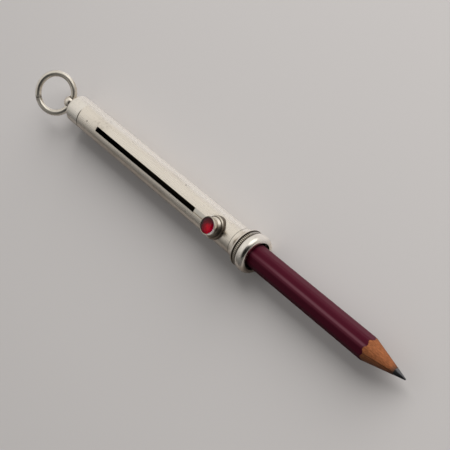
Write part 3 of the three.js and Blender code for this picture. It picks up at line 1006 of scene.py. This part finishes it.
stone_low, stone_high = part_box("stone")
stone_profile = [
    (stone_low.z, 0),
    (stone_low.z, STONE_RADIUS),
    *arc(stone_high.z - STONE_DOME, 0, STONE_DOME, 90, 0, 32, STONE_RADIUS)[:-1],
    (stone_high.z, 0),
]
stone_outline = eased(stone_profile, EDGE_EASE, closed=False)
stone = spun("stone_dome", stone_outline, closed=False, upright=BUTTON, steps=SMALL_STEPS)
glass = Finish(bpy.data.materials.new("red_stone"))
swirl = noise(glass, 1.6)
# The centre of the painted glow; beyond its reach the colour fades to painted shade.
painted_glow_place = BUTTON + STONE_PAINTED_GLOW + Vector((0, 0, stone_high.z - STONE_DOME / 2))
away = distance_to(glass, painted_glow_place, STONE_PAINTED_GLOW_REACH) + (swirl - 0.5) * 0.15
heart = mix(glass, smooth(glass, swirl, 0.35, 0.6), scaled(STONE_RED, 0.5), STONE_RED)
stone.data.materials.append(
    ended(
        glass,
        Base_Color=mix(glass, smooth(glass, away, STONE_HEART, STONE_RIM), heart, STONE_PAINTED_SHADE),
        Roughness=(noise(glass, 0.25) - 0.5) * 0.05 + 0.05,
        IOR=STONE_IOR,
        Transmission_Weight=1,
    )
)
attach(stone, "carriage")
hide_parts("stone")

foil = Finish(bpy.data.materials.new("red_foil"))
crease = noise(foil, 0.35, EVEN, 4)
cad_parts["stone_foil"].material_slots[0].material = ended(
    foil,
    Base_Color=mix(foil, crease, scaled(FOIL_RED, 0.6), FOIL_RED),
    Metallic=1,
    Roughness=crease * 0.2 + 0.2,
    Normal=bumped(foil, crease, 0.6, 0.03),
)

# The pencil's lacquer: a thin maroon coat on eight flats with rounded edges, cut back with the wood
# when the pencil is sharpened. Its edges are worn lighter, a painted highlight stripe runs along
# it, and a painted reflection lightens its left side.
PENCIL_FLATS = 6.9 * MM
PENCIL_SIDES = 8
PENCIL_EDGE = 1.8 * MM
PENCIL_EDGE_STEPS = 8
PENCIL_ROLL = radians(3.5)
LACQUER = 0.12 * MM
LACQUER_EASE = 0.04 * MM
CONE_HALF_ANGLE = radians(13.9)
LEAD_TIP_RADIUS = 0.25 * MM
CUT_PAST = 1 * MM
MAROON = (0.058, 0.0042, 0.0126)
MAROON_DARK = (0.040, 0.0030, 0.0088)
MAROON_WORN_AND_LIT = (0.118, 0.046, 0.058)
EDGE_WORN = 5
EDGE_WEAR = 0.14
STRIPE_TURN = 15
STRIPE_HALF_WIDTH = 11
STRIPE_STRENGTH = 0.68
STRIPE_FAINT = 22
STRIPE_FULL = 40
LEFT_FROM = 34
LEFT_TO = 76
LEFT_STRENGTH = 0.33
FULL_TURNS = 720

lead_low, lead_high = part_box("pencil_lead")
pencil_rear, pencil_front = lead_low.x, lead_high.x
apex = pencil_front + LEAD_TIP_RADIUS * (1 / sin(CONE_HALF_ANGLE) - 1)
tip_start = 90 - degrees(CONE_HALF_ANGLE)
tip = arc(pencil_front - LEAD_TIP_RADIUS, 0, LEAD_TIP_RADIUS, tip_start, 0, 8)[:-1]
tip.append((pencil_front, 0))


def cone_at(radius):
    """How far along the holder the sharpened cone has this radius."""
    return apex - radius / tan(CONE_HALF_ANGLE)


def pencil_bar(flats, edge, rear, front):
    """An eight-sided bar along X with rounded edges, this far across its flats."""
    bpy.ops.object.select_all(action="DESELECT")
    bpy.ops.mesh.primitive_cylinder_add(
        vertices=PENCIL_SIDES,
        radius=flats / 2 / cos(pi / PENCIL_SIDES),
        depth=front - rear,
        location=AXIS + Vector(((front + rear) / 2, 0, 0)),
        rotation=(0, pi / 2, 0),
    )
    bar = bpy.context.object
    bpy.ops.object.transform_apply(location=True, rotation=True, scale=True)
    at = bar.data.vertices[0].co - AXIS
    start_edit(bar)
    bpy.ops.mesh.select_all(action="SELECT")
    turn = PENCIL_ROLL - atan2(at.y, at.z)
    bpy.ops.transform.rotate(value=turn, orient_axis="X", center_override=AXIS)
    bpy.ops.object.mode_set(mode="OBJECT")
    for line in bar.data.edges:
        ends = [bar.data.vertices[v].co for v in line.vertices]
        line.select = abs(ends[0].x - ends[1].x) > MM
    bpy.ops.object.mode_set(mode="EDIT")
    bpy.ops.mesh.select_mode(type="EDGE")
    back = edge * tan(pi / PENCIL_SIDES)
    bpy.ops.mesh.bevel(
        offset=back, offset_type="OFFSET", segments=PENCIL_EDGE_STEPS, profile=0.5
    )
    end_edit()
    return bar


def sharpened():
    """All that lies inside the sharpened cone."""
    rear = pencil_rear - CUT_PAST
    outline = [(rear, 0), (rear, PENCIL_FLATS), (cone_at(PENCIL_FLATS), PENCIL_FLATS), *tip]
    return spun("sharpening", outline, closed=False)


lacquer = pencil_bar(PENCIL_FLATS, PENCIL_EDGE, pencil_rear, pencil_front)
hollow = pencil_bar(
    PENCIL_FLATS - 2 * LACQUER,
    PENCIL_EDGE - LACQUER,
    pencil_rear - CUT_PAST,
    pencil_front + CUT_PAST,
)
boolean(lacquer, "INTERSECT", sharpened())
boolean(lacquer, "DIFFERENCE", hollow)
ease_edges(lacquer, LACQUER_EASE)
finish_mesh(lacquer, "lacquer")

paint = Finish(bpy.data.materials.new("maroon_lacquer"))
grain = noise(paint, 0.5, (14, 1, 1), 4, 0.6)
cloud = noise(paint, 4, (3, 1, 1), 4)
place = paint.node("SeparateXYZ", {}, {0: paint.node("TexCoord")["Object"]})
turn = place["Y"].maths("ARCTAN2", place["Z"] - AXIS.z) * degrees(1)
side_turn = 360 / PENCIL_SIDES
corner_turn = (turn - degrees(PENCIL_ROLL) + FULL_TURNS).maths("MODULO", side_turn)
from_corner = corner_turn.maths("MINIMUM", side_turn - corner_turn)
# A painted highlight stripe and a painted reflection on the left side lighten the maroon, with real
# wear on the edges.
from_stripe = (turn - STRIPE_TURN + (cloud - 0.5) * 4).maths("ABSOLUTE")
stripe = smooth(paint, along_x(paint), STRIPE_FAINT, STRIPE_FULL) * 0.6 + 0.4
edge_rub = smooth(paint, from_corner + (cloud - 0.5) * 8, EDGE_WORN, 1) * EDGE_WEAR
painted_stripe = smooth(paint, from_stripe, STRIPE_HALF_WIDTH, 1) * STRIPE_STRENGTH * stripe
painted_left_reflection = smooth(paint, turn + (cloud - 0.5) * 14, LEFT_FROM, LEFT_TO) * LEFT_STRENGTH
wear_and_highlight = edge_rub.maths("MAXIMUM", painted_stripe).maths("MAXIMUM", painted_left_reflection)
dull = smooth(paint, facing(paint, SHADED_SIDE), 0.2, 0.7)
relief = grain * 0.6 + noise(paint, 1.5, (4, 1, 1), 2) * 0.4
lacquer.data.materials.append(
    ended(
        paint,
        Base_Color=mix(paint, wear_and_highlight, mix(paint, grain, MAROON_DARK, MAROON), MAROON_WORN_AND_LIT),
        Roughness=(cloud - 0.5) * 0.12 + wear_and_highlight * 0.25 + dull * 0.5 + 0.3,
        Normal=bumped(paint, relief, 0.35, 0.02),
        Specular_IOR_Level=0.06,
    )
)
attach(lacquer, "pencil")
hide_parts("pencil_lacquer")

# The cedar slats: two halves of the pencil's wood, glued round the lead through the middles of two
# flats. The right one is darker, partly darker wood and partly painted shade, both take painted
# shade on the side turned from the window, and graphite dust greys both at the lead.
LEAD_RADIUS = 1.05 * MM
GLUE_PLANE = radians(-19)
GLUE_GAP = 0.02 * MM
CEDAR = (0.335, 0.116, 0.046)
CEDAR_DARK = (0.13, 0.042, 0.014)
CEDAR_SIZE = 0.26
GLUE_LINE = (0.045, 0.020, 0.009)
GLUE_LINE_EDGE = 0.16
GLUE_LINE_CORE = 0.05
GRAPHITE_DUST = (0.03, 0.025, 0.022)
DUST_FROM = 75.0
DUST_TO = 77.6
# The last number scales the slat's colour: the right slat's is partly darker wood, partly painted
# shade.
SLATS = [("slat_left_cedar", "slat_left", 1, 1.0), ("slat_right_cedar", "slat_right", -1, 0.8)]

glue_normal = Vector((0, cos(GLUE_PLANE), -sin(GLUE_PLANE)))


def cedar(name, tone):
    """Cedar cut along its fibres, with the dark line of the glue and painted shade on the side
    turned from the window.
    """
    finish = Finish(bpy.data.materials.new(name))
    fibre = smooth(finish, noise(finish, CEDAR_SIZE, (16, 1, 1), 5, 0.7), 0.34, 0.66)
    ray = noise(finish, 1.1, (8, 1, 1), 3, 0.5)
    pore = smooth(finish, noise(finish, 0.12, (10, 1, 1), 3, 0.6), 0.6, 0.7)
    dust = smooth(finish, along_x(finish) + (ray - 0.5) * 3, DUST_FROM, DUST_TO) * 0.8
    from_glue = vectors(finish, "DOT_PRODUCT", step_from(finish, AXIS), glue_normal)["Value"]
    from_glue = from_glue.maths("ABSOLUTE") * (1 / MM)
    glue = smooth(finish, from_glue, GLUE_LINE_EDGE, GLUE_LINE_CORE) * 0.85
    # Painted shade on the side turned from the window.
    dull = smooth(finish, facing(finish, SHADED_SIDE), SHADE_FROM, SHADE_TO) * 0.62
    wood = fibre * 0.7 + ray * 0.3
    base = mix(finish, wood, scaled(CEDAR_DARK, tone), scaled(CEDAR, tone))
    base = mix(finish, pore * 0.35, base, scaled(CEDAR_DARK, 0.3))
    base = mix(finish, glue, base, GLUE_LINE)
    base = mix(finish, dull, base, CEDAR_DARK)
    return ended(
        finish,
        Base_Color=mix(finish, dust, base, GRAPHITE_DUST),
        Roughness=fibre * 0.2 + 0.55,
        Normal=bumped(finish, fibre - pore, 0.6, 0.03),
        Specular_IOR_Level=0.15,
    )


under = LACQUER + GLUE_GAP
bore = LEAD_RADIUS + GLUE_GAP
bore_rear = pencil_rear - CUT_PAST
bore_profile = [(bore_rear, 0), (bore_rear, bore), (pencil_front, bore), (pencil_front, 0)]
for name, node, side, tone in SLATS:
    slat = pencil_bar(PENCIL_FLATS - 2 * under, PENCIL_EDGE - under, pencil_rear, pencil_front)
    boolean(slat, "INTERSECT", sharpened())
    lead_bore = spun("lead_bore", bore_profile, closed=False, steps=SMALL_STEPS)
    boolean(slat, "DIFFERENCE", lead_bore)
    start_edit(slat)
    bpy.ops.mesh.select_all(action="SELECT")
    bpy.ops.mesh.bisect(
        plane_co=AXIS + glue_normal * side * GLUE_GAP / 2,
        plane_no=glue_normal * side,
        use_fill=True,
        clear_inner=True,
    )
    bpy.ops.object.mode_set(mode="OBJECT")
    finish_mesh(slat, name)
    slat.data.materials.append(cedar(name, tone))
    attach(slat, "pencil")
    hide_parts(node)

# The lead: a round stick of graphite and clay, cut to the same cone and blunted by writing.
# It is greasy grey, with a painted sheen on the side towards the window.
GRAPHITE = (0.007, 0.007, 0.008)
GRAPHITE_PAINTED_SHEEN = (0.125, 0.125, 0.13)
SHEEN_FROM = 0.45
SHEEN_TO = 1.0

lead_profile = [
    (pencil_rear, 0),
    (pencil_rear, LEAD_RADIUS),
    (cone_at(LEAD_RADIUS), LEAD_RADIUS),
    *tip,
]
lead = spun("lead", lead_profile, closed=False, steps=SMALL_STEPS)
carbon = Finish(bpy.data.materials.new("graphite"))
streak = noise(carbon, 0.25, (8, 1, 1), 4, 0.6)
grit = noise(carbon, 0.08)
# A painted sheen on the side towards the window.
toward_window = facing(carbon, LIT_SIDE) + (streak - 0.5) * 0.5
painted_sheen = smooth(carbon, toward_window, SHEEN_FROM, SHEEN_TO)
lead.data.materials.append(
    ended(
        carbon,
        Base_Color=mix(carbon, painted_sheen, GRAPHITE, GRAPHITE_PAINTED_SHEEN),
        Metallic=0.6,
        Roughness=streak * 0.25 + 0.25,
        Normal=bumped(carbon, streak + grit * 0.5, 0.5, 0.02),
    )
)
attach(lead, "pencil")
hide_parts("pencil_lead")
